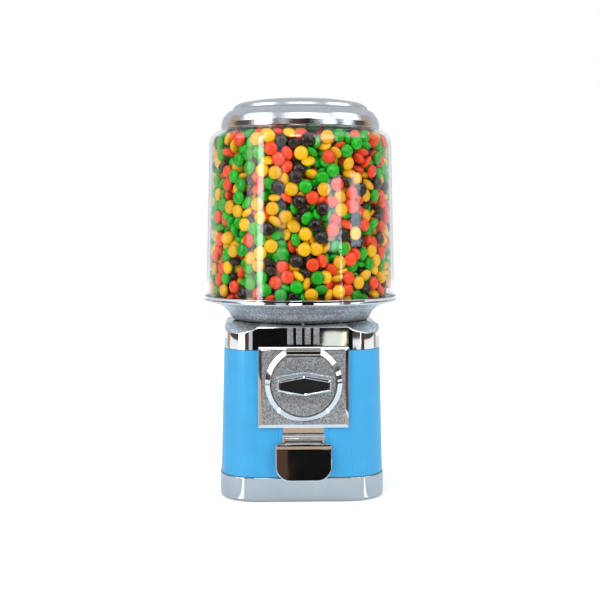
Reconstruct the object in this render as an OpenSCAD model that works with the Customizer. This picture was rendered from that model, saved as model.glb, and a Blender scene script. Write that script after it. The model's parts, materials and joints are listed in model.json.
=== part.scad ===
// Bench-top candy vending machine: a clear globe of coated candies on a cast bowl,
// a coin mechanism behind a square faceplate, and a chute with a swinging door.
// The machine rests on z = 0, its front looks along -Y, and x = 0 is its mirror plane.

/* [Base and body] */
// Width and depth of the base
base_w = 158; // [154:1:164]
// Top of the base above the surface that it stands on
base_top = 23.5; // [22:0.5:25]
// Width of the body shell where it meets the base
body_w = 156; // [152:1:160]
// Width of the body shell where it meets the cap
body_top_w = 150; // [148:1:152]
// Height of the top edge of the body shell
body_top = 143.5; // [143:0.5:145]
// Half distance between the corner centres of every square outline
corner_c = 42.5; // [40:0.5:44]
// Thickness of the shells
wall = 2.5; // [2:0.1:3]
// Height of the rubber feet under the base
foot_h = 1.2; // [1:0.1:2]

/* [Cap, bowl and globe] */
// Height of the flat top of the cap
cap_top = 168; // [166:0.5:169]
// Outer radius of the globe ring
ring_r = 95.6; // [94:0.1:97]
// Height of the lower edge of the globe ring
ring_z = 186.5; // [185:0.5:188]
// Outer radius of the globe at its foot
globe_r = 93.7; // [92:0.1:94]
// Outer radius of the globe below its shoulder
globe_top_r = 90; // [88:0.5:92]
// Height of the flat top of the globe
globe_top = 354; // [350:1:358]
// Radius of the globe's shoulder
shoulder_r = 14; // [12:0.5:16]
// Outer radius of the lid's rim
lid_r = 78; // [77:0.1:79]

/* [Coin mechanism] */
// Width of the faceplate
plate_w = 85; // [83:0.5:87]
// Height of the lower edge of the faceplate
plate_z0 = 71; // [70:0.5:73]
// Height of the upper edge of the faceplate
plate_z1 = 147.3; // [147:0.1:148]
// Height of the knob's axis
knob_z = 113; // [112.5:0.1:113.5]
// Outer radius of the raised ring on the faceplate
coin_ring_r = 35.3; // [35:0.1:36]
// Width of the knob's grip
grip_w = 48.5; // [44:0.5:52]

/* [Dispensing gears] */
// Gear module
gear_m = 2.5; // [2.5:0.1:2.5]
// Teeth of the drive pinion
pinion_n = 10; // [10:1:10]
// Crown teeth under the candy wheel
wheel_n = 30; // [30:1:30]
// Candy pockets in the wheel
pockets = 6; // [4:1:6]

/* [Hidden] */
$fn = 72;

// outlines
base_half = base_w / 2;
body_half = body_w / 2;
body_top_half = body_top_w / 2;
draft = (body_half - body_top_half) / (body_top - base_top);
floor_t = 2.5;
lip_h = 4;
lip_half = body_half - wall - 0.3;
fit = 0.05;
clear = 0.3;

// fasteners
screw_r = 1.5;
screw_bore_r = 1.6;
boss_r = 5;
base_boss_c = corner_c + 20;
cap_boss_c = corner_c + 18;

// bowl and hopper
bowl_foot_r = 67;
bowl_flange_z = ring_z + 2;
throat_r = 45.5;
throat_wall = 3;
seat_z = 142.4;
hopper_flange_r = 58;
flange_t = 3;
flange_screw_r = 53.5;
foot_screw_r = 65.2;
cap_hole_r = 63;

// candy wheel and its housing
pinion_r = gear_m * pinion_n / 2;
crown_r = gear_m * wheel_n / 2;
tooth_add = 2.1;
tooth_ded = 2.7;
tooth_w = 2.7;
crown_face = 6.4;
wheel_r = 42.5;
wheel_rim_z = knob_z + pinion_r + tooth_ded;
wheel_hub_z = knob_z + pinion_r - tooth_add;
wheel_top = 142;
wheel_web_r = 33;
pocket_r = 8.5;
pocket_c = 23;
floor_z = wheel_hub_z - 0.4;
floor_plate_t = 4;
floor_under = floor_z - floor_plate_t;
boss_tube_r = 6.5;
rod_r = 4;
rod_z0 = floor_under - 9;
rod_z1 = 373;

// globe, lid and candies
globe_z = ring_z + 4.5;
globe_wall = 2.5;
neck_r = 72.5;
neck_h = 4;
lid_top = 382;
lock_r = 9.5;
lock_flange_r = 12;
candy_z0 = 151;
candy_z1 = 350;

// coin mechanism, all distances are along Y with the front at -Y
plate_y = -81.7;
field_y = -80.9;
disc_y = -84;
grip_y = -99;
hub_r = 8;
coin_half = 13.5;
notch_half = 16;
notch_z0 = 138;
notch_z1 = 146;
opening_half = 30.5;
opening_z0 = 80;
opening_z1 = 139.5;
housing_half = 33.5;
housing_z0 = 77.5;
housing_z1 = 141.5;
housing_y0 = -71.9;
housing_y1 = -52;
backplate_y1 = -49;
spindle_r = 4;
coin_wheel_r = 24.5;
cavity_r = 25.2;
ratchet_y0 = -63;
ratchet_y1 = -58;
ratchet_tip = 18;
ratchet_root = 15.5;
ratchet_n = 12;
pinion_y0 = -40.5;
pinion_y1 = -34.5;
pawl_x = -24;
pawl_dz = 15;
mech_screw_x = 28.5;
mech_screw_dz = 22.5;
bush_r = 5.4;

// chute and door
chute_half = 17;
chute_wall = 2;
chute_exit_y = -77;
notch_w = 20.4;
hood_half = 20.2;
pin_y = -81;
pin_z = 54;
pin_r = 1.2;
door_half = 26.2;
door_z0 = 22;
door_z1 = 56;
door_bend_z = 51.4;
door_y = -85;
door_t = 1.5;
door_tilt = 5;
door_corner = 13;

// ---------- helpers ----------

// Square outline with round corners centred at corner_c
module rounded_square(half) {
  r = half - corner_c;
  square([2 * half, 2 * corner_c], center = true);
  square([2 * corner_c, 2 * half], center = true);
  for (x = [-1, 1])
    for (y = [-1, 1])
      translate([x * corner_c, y * corner_c])
        circle(r = r);
}

// Rounded-square block whose sides lean from half-width h0 at z0 to h1 at z1
module leaning_block(h0, h1, z0, z1) {
  side = [[-h0, z0], [h0, z0], [h1, z1], [-h1, z1]];
  translate([0, corner_c, 0])
    rotate([90, 0, 0])
      linear_extrude(2 * corner_c)
        polygon(side);
  translate([-corner_c, 0, 0])
    rotate([90, 0, 90])
      linear_extrude(2 * corner_c)
        polygon(side);
  for (x = [-1, 1])
    for (y = [-1, 1])
      translate([x * corner_c, y * corner_c, z0])
        cylinder(r1 = h0 - corner_c, r2 = h1 - corner_c, h = z1 - z0);
}

// Children are an outline in X and Z, extruded from y0 to y1
module along_y(y0, y1) {
  translate([0, y1, 0])
    rotate([90, 0, 0])
      linear_extrude(y1 - y0)
        children();
}

// Children are an outline in Y and Z, extruded from x0 to x1
module along_x(x0, x1) {
  translate([x0, 0, 0])
    rotate([90, 0, 90])
      linear_extrude(x1 - x0)
        children();
}

// Cylinder on the knob's axis, or on a line beside it
module spindle_cylinder(r, y0, y1, x = 0, dz = 0) {
  translate([x, y1, knob_z + dz])
    rotate([90, 0, 0])
      cylinder(r = r, h = y1 - y0);
}

module at_corners(c) {
  for (x = [-1, 1])
    for (y = [-1, 1])
      translate([x * c, y * c, 0])
        children();
}

module around(n, r, start = 45) {
  for (i = [0 : n - 1])
    rotate(start + i * 360 / n)
      translate([r, 0, 0])
        children();
}

// Pan-head screw with its head below z = 0 and its shank going up
module screw(shank, r = screw_r) {
  translate([0, 0, -2])
    cylinder(r = 2.1 * r, h = 2);
  cylinder(r = r, h = shank);
}

function arc(cx, cy, r, a0, a1, n) =
  [for (i = [0 : n]) [cx + r * cos(a0 + (a1 - a0) * i / n), cy + r * sin(a0 + (a1 - a0) * i / n)]];

function polar(r, a) = [r * cos(a), r * sin(a)];

// ---------- base ----------

module base() {
  edge = 3;
  color("silver")
    difference() {
      union() {
        leaning_block(base_half - edge, base_half, foot_h, foot_h + edge);
        translate([0, 0, foot_h + edge])
          linear_extrude(base_top - foot_h - edge)
            rounded_square(base_half);
        translate([0, 0, base_top - 1])
          linear_extrude(lip_h + 1)
            rounded_square(lip_half);
      }
      difference() {
        translate([0, 0, foot_h + floor_t])
          linear_extrude(base_top + lip_h)
            rounded_square(lip_half - 2.2);
        at_corners(base_boss_c)
          cylinder(r = boss_r + 1, h = base_top);
      }
      at_corners(base_boss_c) {
        cylinder(r = 4, h = foot_h + 3);
        cylinder(r = 2, h = base_top + lip_h + 1);
      }
      at_corners(base_boss_c)
        translate([0, 0, base_top])
          cylinder(r = boss_r + 1, h = lip_h + 1);
      at_corners(corner_c)
        cylinder(r = 8, h = foot_h + 1.2);
    }
}

module rubber_feet() {
  color("dimgray")
    at_corners(corner_c)
      cylinder(r = 8, h = foot_h + 1.2);
}

module coin_tray() {
  half_x = 54;
  half_y = 66;
  z0 = foot_h + floor_t;
  color("dimgray")
    difference() {
      translate([-half_x, -half_y, z0])
        cube([2 * half_x, 2 * half_y, 17]);
      translate([-half_x + 1.6, -half_y + 1.6, z0 + 1.6])
        cube([2 * half_x - 3.2, 2 * half_y - 3.2, 17]);
    }
}

module base_screws() {
  color("silver")
    at_corners(base_boss_c)
      translate([0, 0, foot_h + 3])
        screw(31, 1.55);
}

// ---------- body shell and cap ----------

module body_shell() {
  color("deepskyblue")
    difference() {
      union() {
        difference() {
          leaning_block(body_half, body_top_half, base_top, body_top);
          leaning_block(body_half - wall + draft, body_top_half - wall - draft, base_top - 1, body_top + 1);
        }
        at_corners(base_boss_c)
          translate([0, 0, base_top])
            cylinder(r = boss_r, h = 16);
        at_corners(cap_boss_c)
          translate([0, 0, body_top - 18])
            cylinder(r = boss_r, h = 18);
      }
      at_corners(base_boss_c)
        translate([0, 0, base_top - 1])
          cylinder(r = screw_bore_r, h = 20);
      at_corners(cap_boss_c)
        translate([0, 0, body_top - 19])
          cylinder(r = 2, h = 20);
      translate([-opening_half, -body_half - 1, opening_z0])
        cube([2 * opening_half, 12, opening_z1 - opening_z0]);
      translate([-notch_w, -body_half - 1, base_top + lip_h])
        cube([2 * notch_w, 12, 71 - base_top - lip_h]);
    }
}

// Raised ribs on the middle of the cap's front
module cap_ribs() {
  pitch = 8.2;
  rib_w = 5.4;
  for (i = [-1.5 : 1 : 1.5])
    translate([i * pitch - rib_w / 2, -body_top_half - 2, 149])
      cube([rib_w, 6, 15.5]);
}

module cap() {
  top_half = body_top_half - 0.5;
  bevel_z = cap_top - 5;
  roof_half = top_half - 4;
  color("gainsboro")
    difference() {
      union() {
        leaning_block(body_top_half, top_half, body_top, bevel_z);
        leaning_block(top_half, roof_half, bevel_z, cap_top);
        cap_ribs();
      }
      difference() {
        leaning_block(body_top_half - wall, top_half - wall, body_top - 1, bevel_z - 1);
        at_corners(cap_boss_c)
          translate([0, 0, body_top])
            cylinder(r = boss_r, h = 30);
      }
      at_corners(cap_boss_c)
        translate([0, 0, body_top - 1])
          cylinder(r = screw_bore_r, h = 13);
      translate([0, 0, bevel_z - 2])
        cylinder(r = cap_hole_r, h = 10);
      around(4, foot_screw_r, 0)
        translate([0, 0, bevel_z - 2])
          cylinder(r = 1.7, h = 10);
      // clearance for the upper edge of the faceplate
      translate([-plate_w / 2 - clear, -body_half - 1, body_top - 1])
        cube([plate_w + 2 * clear, body_half - body_top_half + 1.2, plate_z1 - body_top + 1.3]);
    }
}

module cap_screws() {
  color("silver")
    at_corners(cap_boss_c)
      translate([0, 0, body_top - 18])
        screw(28);
}

// ---------- bowl and globe ----------

module hopper_bowl() {
  profile = concat(
    [[throat_r, seat_z], [hopper_flange_r, seat_z], [hopper_flange_r, seat_z + flange_t]],
    [[throat_r + throat_wall, seat_z + flange_t], [throat_r + throat_wall, 155]],
    [[62, 166], [62, cap_top], [bowl_foot_r, cap_top], [71, 173], [73, 176], [76, 179], [80, 182]],
    [[86, 184.6], [94, ring_z], [94, bowl_flange_z], [85, bowl_flange_z], [throat_r, 157]]);
  color("lightgray")
    difference() {
      rotate_extrude()
        polygon(profile);
      around(4, flange_screw_r)
        translate([0, 0, seat_z - 1])
          cylinder(r = screw_bore_r, h = flange_t + 2);
      around(4, foot_screw_r, 0)
        translate([0, 0, cap_top - 1])
          cylinder(r = 1.3, h = 4);
    }
}

module bowl_screws() {
  color("silver")
    around(4, foot_screw_r, 0)
      translate([0, 0, cap_top - 6])
        screw(8.5, 1.2);
}

module globe_ring() {
  shelf = bowl_flange_z + 1.8;
  band_in = 94.3;
  profile = [
    [87, bowl_flange_z], [band_in, bowl_flange_z], [band_in, ring_z], [ring_r, ring_z],
    [ring_r, globe_z + 0.5], [band_in, globe_z + 0.5], [band_in, shelf], [87, shelf]];
  color("gainsboro")
    rotate_extrude()
      polygon(profile);
}

module globe_gasket() {
  color("dimgray")
    translate([0, 0, bowl_flange_z + 1.8])
      difference() {
        cylinder(r = globe_r, h = 0.7);
        translate([0, 0, -1])
          cylinder(r = globe_r - 4, h = 3);
      }
}

function globe_outline(inset, z0) = concat(
  [[globe_r - inset, z0], [globe_top_r - inset, globe_top - shoulder_r]],
  arc(globe_top_r - shoulder_r, globe_top - shoulder_r, shoulder_r - inset, 0, 90, 8));

module globe() {
  inner = globe_outline(globe_wall, globe_z);
  back = [for (i = [len(inner) - 1 : -1 : 0]) inner[i]];
  neck = [
    [neck_r, globe_top], [neck_r, globe_top + neck_h],
    [neck_r - globe_wall, globe_top + neck_h], [neck_r - globe_wall, globe_top - globe_wall]];
  color([0.8, 0.9, 0.95, 0.35])
    rotate_extrude()
      polygon(concat(globe_outline(0, globe_z), neck, back));
}

// The candies as one closed solid, with a bore for the rod
module candy_load() {
  gap = 0.4;
  top_r = globe_top_r - shoulder_r;
  shell = [
    [rod_r + gap, candy_z0], [throat_r - gap, candy_z0], [throat_r - gap, 157.4],
    [84.4, bowl_flange_z + gap], [globe_r - 7, bowl_flange_z + gap], [globe_r - 7, bowl_flange_z + 3],
    [globe_r - globe_wall - gap, globe_z + 0.5], [globe_top_r - globe_wall - gap, globe_top - shoulder_r],
    [top_r + 7, candy_z1 - 1.5], [top_r, candy_z1], [rod_r + gap, candy_z1]];
  color("orange")
    rotate_extrude()
      polygon(shell);
}

// ---------- lid and lock ----------

module lid() {
  outer = [
    [lid_r, globe_top], [lid_r, 360], [77.3, 362.5], [76.3, 365], [74.5, 368], [71.5, 371],
    [67.2, 373.4], [66.2, 374.6], [65.4, 376], [62, 378.6], [53, 381], [40, lid_top]];
  inner = [
    [40, 379.8], [52, 378.6], [60, 376.2], [63.2, 373.6], [68, 370.4], [72.5, 365.6],
    [74.5, 360], [74.5, globe_top]];
  color("gainsboro")
    rotate_extrude()
      polygon(concat(outer, [[lock_r, lid_top], [lock_r, 379.8]], inner));
}

module lock_barrel() {
  bottom = 363;
  color("silver")
    difference() {
      union() {
        translate([0, 0, bottom])
          cylinder(r = lock_r - fit, h = lid_top - bottom);
        translate([0, 0, lid_top])
          cylinder(r = lock_flange_r, h = 1.4);
      }
      translate([0, 0, bottom - 1])
        cylinder(r = rod_r + clear, h = rod_z1 - bottom + 1.6);
      translate([-0.9, -4, lid_top - 2])
        cube([1.8, 8, 5]);
    }
}

// ---------- rod, hopper plate and candy wheel ----------

module centre_rod() {
  color("silver")
    translate([0, 0, rod_z0])
      cylinder(r = rod_r, h = rod_z1 - rod_z0);
}

module rod_nut(z) {
  translate([0, 0, z])
    difference() {
      cylinder(r = 7.5, h = 6, $fn = 6);
      translate([0, 0, -1])
        cylinder(r = rod_r, h = 8);
    }
}

module lower_rod_nut() {
  color("silver")
    rod_nut(floor_under - 7.2);
}

module upper_rod_nut() {
  color("silver")
    rod_nut(seat_z + 1.2);
}

module rod_washers() {
  color("silver")
    for (z = [floor_under - 1.2, seat_z])
      translate([0, 0, z])
        difference() {
          cylinder(r = 9.5, h = 1.2);
          translate([0, 0, -1])
            cylinder(r = rod_r, h = 4);
        }
}

module hopper_plate() {
  wall_in = wheel_r + 0.5;
  wall_out = throat_r + throat_wall;
  color("lightgray")
    difference() {
      union() {
        translate([0, 0, floor_under])
          cylinder(r = wall_out, h = seat_z - floor_under);
        translate([0, 0, seat_z - flange_t])
          cylinder(r = hopper_flange_r, h = flange_t);
      }
      // flat beside the coin mechanism
      translate([-hopper_flange_r, -hopper_flange_r - 1, seat_z - flange_t - 1])
        cube([2 * hopper_flange_r, hopper_flange_r + 1 - wall_out, flange_t + 1]);
      difference() {
        translate([0, 0, floor_z])
          cylinder(r = wall_in, h = 30);
        cylinder(r = boss_tube_r, h = seat_z);
      }
      cylinder(r = rod_r, h = 200);
      translate([0, pocket_c, floor_under - 1])
        cylinder(r = 9, h = 10);
      translate([-15.5, -42.5, floor_under - 1])
        cube([31, 10, 12]);
      around(4, flange_screw_r)
        translate([0, 0, seat_z - flange_t - 1])
          cylinder(r = screw_bore_r, h = 10);
    }
}

module hopper_screws() {
  color("silver")
    around(4, flange_screw_r)
      translate([0, 0, seat_z - flange_t])
        screw(5.8);
}

module crown_tooth() {
  top = tooth_ded + 0.5;
  outline = [
    [-tooth_w / 2 - 0.7, top], [tooth_w / 2 + 0.7, top], [tooth_w / 2 + 0.7, tooth_ded],
    [tooth_w / 2, 0], [tooth_w / 2 - 0.7, -tooth_add], [0.7 - tooth_w / 2, -tooth_add],
    [-tooth_w / 2, 0], [-tooth_w / 2 - 0.7, tooth_ded]];
  translate([crown_r - crown_face / 2, 0, knob_z + pinion_r])
    rotate([90, 0, 90])
      linear_extrude(crown_face)
        polygon(outline);
}

module candy_wheel() {
  color("white")
    difference() {
      union() {
        translate([0, 0, wheel_rim_z])
          cylinder(r = wheel_r, h = wheel_top - wheel_rim_z);
        translate([0, 0, wheel_hub_z])
          cylinder(r = wheel_web_r, h = wheel_top - wheel_hub_z);
        for (i = [0 : wheel_n - 1])
          rotate(-90 + i * 360 / wheel_n)
            crown_tooth();
      }
      cylinder(r = boss_tube_r + fit, h = 200);
      for (i = [0 : pockets - 1])
        rotate(90 + i * 360 / pockets)
          translate([pocket_c, 0, wheel_hub_z - 1])
            cylinder(r = pocket_r, h = 30);
    }
}

// Lid over the outlet that keeps the hopper's candies out of the pocket below it
module portion_cover() {
  color("silver")
    translate([0, 0, seat_z])
      linear_extrude(1.6)
        union() {
          translate([0, pocket_c])
            circle(r = 11);
          translate([-6, pocket_c])
            square([12, 21.6]);
        }
}

module portion_brush() {
  color("black")
    translate([-12.5, 20, seat_z])
      cube([1.3, 15, 5]);
}

// ---------- coin mechanism ----------

module faceplate_outline_solid() {
  bevel = 4;
  half = plate_w / 2;
  back0 = -(body_half - draft * (plate_z0 - base_top));
  back1 = -(body_half - draft * (plate_z1 - base_top));
  intersection() {
    along_x(-half, half)
      polygon([
        [back0, plate_z0], [plate_y + 1.6, plate_z0], [plate_y, plate_z0 + bevel],
        [plate_y, plate_z1 - bevel], [plate_y + 1.6, plate_z1], [back1, plate_z1]]);
    translate([0, 0, plate_z0 - 1])
      linear_extrude(plate_z1 - plate_z0 + 2)
        polygon([
          [-half, -60], [-half, plate_y + 1.6], [bevel - half, plate_y],
          [half - bevel, plate_y], [half, plate_y + 1.6], [half, -60]]);
  }
}

module faceplate() {
  field_half = plate_w / 2 - 4.2;
  color("silver")
    difference() {
      union() {
        difference() {
          faceplate_outline_solid();
          along_y(plate_y - 1, field_y)
            translate([-field_half, plate_z0 + 4.2])
              square([2 * field_half, plate_z1 - plate_z0 - 8.4]);
        }
        // raised ring with a sloping face
        intersection() {
          translate([0, field_y + 1, knob_z])
            rotate([90, 0, 0])
              rotate_extrude()
                polygon([[31, 0], [coin_ring_r, 0], [coin_ring_r, 1.6], [31.6, 4.6], [31, 4.6]]);
          translate([-50, -100, plate_z0 + 0.1])
            cube([100, 50, plate_z1 - plate_z0 - 0.2]);
        }
      }
      spindle_cylinder(hub_r + fit, -100, -50);
      // coin notch and the slot behind it
      translate([-notch_half, -90, notch_z0])
        cube([2 * notch_half, 11.6, notch_z1 - notch_z0]);
      translate([-coin_half, -90, notch_z0])
        cube([2 * coin_half, 30, 3.4]);
      for (x = [-1, 1])
        for (z = [-1, 1])
          spindle_cylinder(screw_r, -78, -70, x * mech_screw_x, z * mech_screw_dz);
    }
}

module mech_housing() {
  color("silver")
    difference() {
      translate([-housing_half, housing_y0, housing_z0])
        cube([2 * housing_half, housing_y1 - housing_y0, housing_z1 - housing_z0]);
      spindle_cylinder(cavity_r, housing_y0 - 1, -64.5);
      translate([-31, -64.6, 92])
        cube([62, 20, 41.5]);
      // coins come in at the top and leave at the bottom
      translate([-coin_half, housing_y0 - 1, knob_z])
        cube([2 * coin_half, 5, 40]);
      translate([-coin_half, housing_y0 + 0.6, housing_z0 - 1])
        cube([2 * coin_half, 6, 30]);
      for (x = [-1, 1])
        for (z = [-1, 1])
          spindle_cylinder(screw_bore_r, -100, -40, x * mech_screw_x, z * mech_screw_dz);
    }
}

module mech_backplate() {
  color("gray")
    difference() {
      translate([-housing_half, housing_y1, housing_z0])
        cube([2 * housing_half, backplate_y1 - housing_y1, housing_z1 - housing_z0]);
      spindle_cylinder(bush_r, -60, -40);
      spindle_cylinder(screw_r, -60, -40, pawl_x, pawl_dz);
      for (x = [-1, 1])
        for (z = [-1, 1])
          spindle_cylinder(screw_bore_r, -60, -40, x * mech_screw_x, z * mech_screw_dz);
    }
}

module mech_screws() {
  color("silver")
    for (x = [-1, 1])
      for (z = [-1, 1]) {
        spindle_cylinder(screw_r, -77.5, backplate_y1, x * mech_screw_x, z * mech_screw_dz);
        spindle_cylinder(3.1, backplate_y1, backplate_y1 + 2, x * mech_screw_x, z * mech_screw_dz);
      }
}

module spindle_bush() {
  color("goldenrod")
    difference() {
      spindle_cylinder(bush_r, housing_y1, -45);
      spindle_cylinder(spindle_r + fit, -60, -40);
    }
}

// Round front plate with a flat under the coin notch, a hexagonal grip and a hub
module knob() {
  disc_r = 30.6;
  flat_dz = notch_z0 - knob_z - 0.4;
  half = grip_w / 2;
  waist = [[-half, -5], [0, -9.5], [half, -5], [half, 5], [0, 9.5], [-half, 5]];
  color("silver")
    difference() {
      union() {
        along_y(disc_y, field_y - clear)
          translate([0, knob_z])
            difference() {
              circle(r = disc_r);
              translate([-disc_r, flat_dz])
                square([2 * disc_r, disc_r]);
            }
        along_y(grip_y, disc_y)
          translate([0, knob_z])
            polygon(waist);
        spindle_cylinder(hub_r, field_y - clear, -73);
      }
      spindle_cylinder(spindle_r, -84, -70);
    }
}

module spindle() {
  color("gray")
    spindle_cylinder(spindle_r, -84, -31);
}

// A flat outline, extruded along the spindle, with the spindle's bore through it
module on_spindle(y0, y1) {
  along_y(y0, y1)
    translate([0, knob_z])
      difference() {
        children();
        circle(r = spindle_r);
      }
}

module coin_wheel() {
  color("silver")
    difference() {
      on_spindle(-71.5, -65)
        circle(r = coin_wheel_r);
      translate([-13.2, -72, knob_z + 8])
        cube([26.4, 3.6, 30]);
    }
}

module ratchet_wheel() {
  step = 360 / ratchet_n;
  start = 25;
  teeth = [for (i = [0 : ratchet_n - 1], k = [0, 1])
    polar(k == 0 ? ratchet_tip : ratchet_root, start + i * step + k)];
  color("dimgray")
    on_spindle(ratchet_y0, ratchet_y1)
      polygon(teeth);
}

module pawl() {
  lever = [polar(18.2, 117.5), polar(20.4, 117), [-22, 19.4], [pawl_x - 2, 18], [pawl_x, 11.4]];
  color("gray")
    along_y(ratchet_y0, ratchet_y1)
      translate([0, knob_z])
        difference() {
          union() {
            polygon(lever);
            translate([pawl_x, pawl_dz])
              circle(r = 3.8);
          }
          translate([pawl_x, pawl_dz])
            circle(r = screw_r + fit);
        }
}

module pawl_pin() {
  color("silver")
    spindle_cylinder(screw_r, ratchet_y0 - 1, backplate_y1, pawl_x, pawl_dz);
}

// Torsion spring beside the pawl
module pawl_spring() {
  wire = 0.4;
  coil_r = 2.6;
  turns = 4;
  color("gray") {
    for (i = [0 : turns - 1])
      translate([pawl_x, ratchet_y1 + wire + i * 2 * wire, knob_z + pawl_dz])
        rotate([90, 0, 0])
          rotate_extrude()
            translate([coil_r, 0])
              circle(r = wire, $fn = 16);
  }
}

module drive_pinion() {
  root = pinion_r - tooth_ded;
  outline = [
    [-tooth_w / 2 - 0.5, root - 0.6], [tooth_w / 2 + 0.5, root - 0.6], [tooth_w / 2, pinion_r],
    [tooth_w / 2 - 0.75, pinion_r + tooth_add], [0.75 - tooth_w / 2, pinion_r + tooth_add],
    [-tooth_w / 2, pinion_r]];
  color("white")
    on_spindle(pinion_y0, pinion_y1)
      union() {
        circle(r = root);
        for (i = [0 : pinion_n - 1])
          rotate((i + 0.5) * 360 / pinion_n)
            polygon(outline);
      }
}

module spindle_nut() {
  color("silver")
    on_spindle(pinion_y1, -31.5)
      circle(r = 5.4, $fn = 6);
}

// ---------- chutes and door ----------

module candy_chute() {
  outer = [
    [11, floor_under], [35, floor_under], [35, 99], [-55, 28], [chute_exit_y, 28],
    [chute_exit_y, 56], [-45, 63], [11, 107]];
  inner = [
    [13, floor_under + 1], [33, floor_under + 1], [33, 100.2], [-55.7, 30], [chute_exit_y - 1, 30],
    [chute_exit_y - 1, 53.8], [-45.6, 60.7], [13, 105.9]];
  color("white")
    difference() {
      along_x(-chute_half, chute_half)
        polygon(outer);
      along_x(chute_wall - chute_half, chute_half - chute_wall)
        polygon(inner);
    }
}

// Chrome surround of the chute's mouth, with the ledge above the door
module chute_hood() {
  cheek = 2.7;
  ledge = concat(
    [[-74.6, 71], [-76.2, 71]],
    arc(-79.2, 65, 3, 0, -90, 6),
    [[-82.6, 61.6], [-82.6, 59.2], [-74.6, 59.2]]);
  side = [
    [chute_exit_y, 28], [-82.6, 28], [-82.6, 52.5], [-79, 56.2], [-79, 59.6], [chute_exit_y, 59.6]];
  color("gainsboro")
    difference() {
      union() {
        along_x(-hood_half, hood_half)
          polygon(ledge);
        for (x = [-hood_half, hood_half - cheek])
          along_x(x, x + cheek) {
            polygon(side);
            translate([pin_y, pin_z])
              circle(r = 2.1);
          }
        along_x(-hood_half, hood_half)
          polygon([[-78.2, 26], [-86.2, 26], [-86.2, 28], [-78.2, 28]]);
      }
      along_x(-30, 30)
        translate([pin_y, pin_z])
          circle(r = pin_r);
    }
}

module chute_door() {
  ear = 2.6;
  ear_x = 20.7;
  foot_y = door_y - door_tilt;
  corner = door_corner;
  skin = [
    [door_y, door_z1], [door_y, door_bend_z], [foot_y, door_z0], [foot_y + door_t, door_z0],
    [door_y + door_t, door_bend_z], [door_y + door_t, door_z1]];
  color("gainsboro")
    difference() {
      union() {
        intersection() {
          along_x(-door_half, door_half)
            polygon(skin);
          along_y(-100, -70)
            union() {
              translate([-door_half, door_z0 + corner])
                square([2 * door_half, 60]);
              translate([corner - door_half, door_z0])
                square([2 * (door_half - corner), 60]);
              for (x = [-1, 1])
                translate([x * (door_half - corner), door_z0 + corner])
                  circle(r = corner);
            }
        }
        for (x = [-ear_x - ear, ear_x])
          along_x(x, x + ear) {
            translate([pin_y, pin_z])
              circle(r = 2.6);
            translate([door_y + door_t - 0.4, pin_z - 2])
              square([2.9, 4]);
          }
      }
      along_x(-40, 40)
        translate([pin_y, pin_z])
          circle(r = pin_r + fit);
    }
}

module door_pin() {
  color("silver")
    along_x(-24.5, 24.5)
      translate([pin_y, pin_z])
        circle(r = pin_r);
}

// Trough that takes the coins over the candy chute and down to the tray
module coin_chute() {
  outer = [[-17, 77], [17, 77], [46, 62], [46, 26], [19, 26], [19, 60.6], [-17, 66]];
  inner = [[-15.4, 78], [15.4, 78], [16.6, 75.4], [44.4, 61], [44.4, 25], [20.6, 25], [20.6, 62], [-15.4, 67.4]];
  color("silver")
    difference() {
      along_y(-72.4, -62)
        polygon(outer);
      along_y(-71.2, -63.2)
        polygon(inner);
    }
}

base();
rubber_feet();
coin_tray();
base_screws();
body_shell();
cap();
cap_screws();
hopper_bowl();
bowl_screws();
globe_ring();
globe_gasket();
globe();
candy_load();
lid();
lock_barrel();
centre_rod();
lower_rod_nut();
upper_rod_nut();
rod_washers();
hopper_plate();
hopper_screws();
candy_wheel();
portion_cover();
portion_brush();
faceplate();
mech_housing();
mech_backplate();
mech_screws();
spindle_bush();
knob();
spindle();
coin_wheel();
ratchet_wheel();
pawl();
pawl_pin();
pawl_spring();
drive_pinion();
spindle_nut();
candy_chute();
chute_hood();
chute_door();
door_pin();
coin_chute();
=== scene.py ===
"""A bench-top candy vending machine, built in Blender around its CAD frame.

Everything is in metres, in the CAD's frame: z = 0 is the surface it stands on, the front looks
along -Y. Shapes repeat the CAD's own dimensions and add the rounding, relief and finish.
"""

import json
import math

import bmesh
import bpy
import numpy as np
from mathutils import Matrix, Vector


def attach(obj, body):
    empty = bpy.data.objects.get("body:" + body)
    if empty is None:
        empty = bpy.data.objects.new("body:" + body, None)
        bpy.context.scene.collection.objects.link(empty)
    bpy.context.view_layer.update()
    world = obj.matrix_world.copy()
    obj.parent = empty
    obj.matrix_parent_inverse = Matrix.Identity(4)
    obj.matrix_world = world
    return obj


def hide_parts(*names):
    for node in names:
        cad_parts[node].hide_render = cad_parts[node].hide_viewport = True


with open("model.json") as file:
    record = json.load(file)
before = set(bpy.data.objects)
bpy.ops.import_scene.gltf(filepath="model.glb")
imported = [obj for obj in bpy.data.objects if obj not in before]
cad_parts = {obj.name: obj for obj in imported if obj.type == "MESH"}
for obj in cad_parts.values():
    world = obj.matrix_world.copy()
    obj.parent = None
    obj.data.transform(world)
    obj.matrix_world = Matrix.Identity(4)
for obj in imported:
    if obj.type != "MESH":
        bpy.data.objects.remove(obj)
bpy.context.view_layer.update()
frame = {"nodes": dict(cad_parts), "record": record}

MM = 0.001
SEED = 11

# ---------- dimensions, in millimetres, as in the CAD ----------

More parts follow.
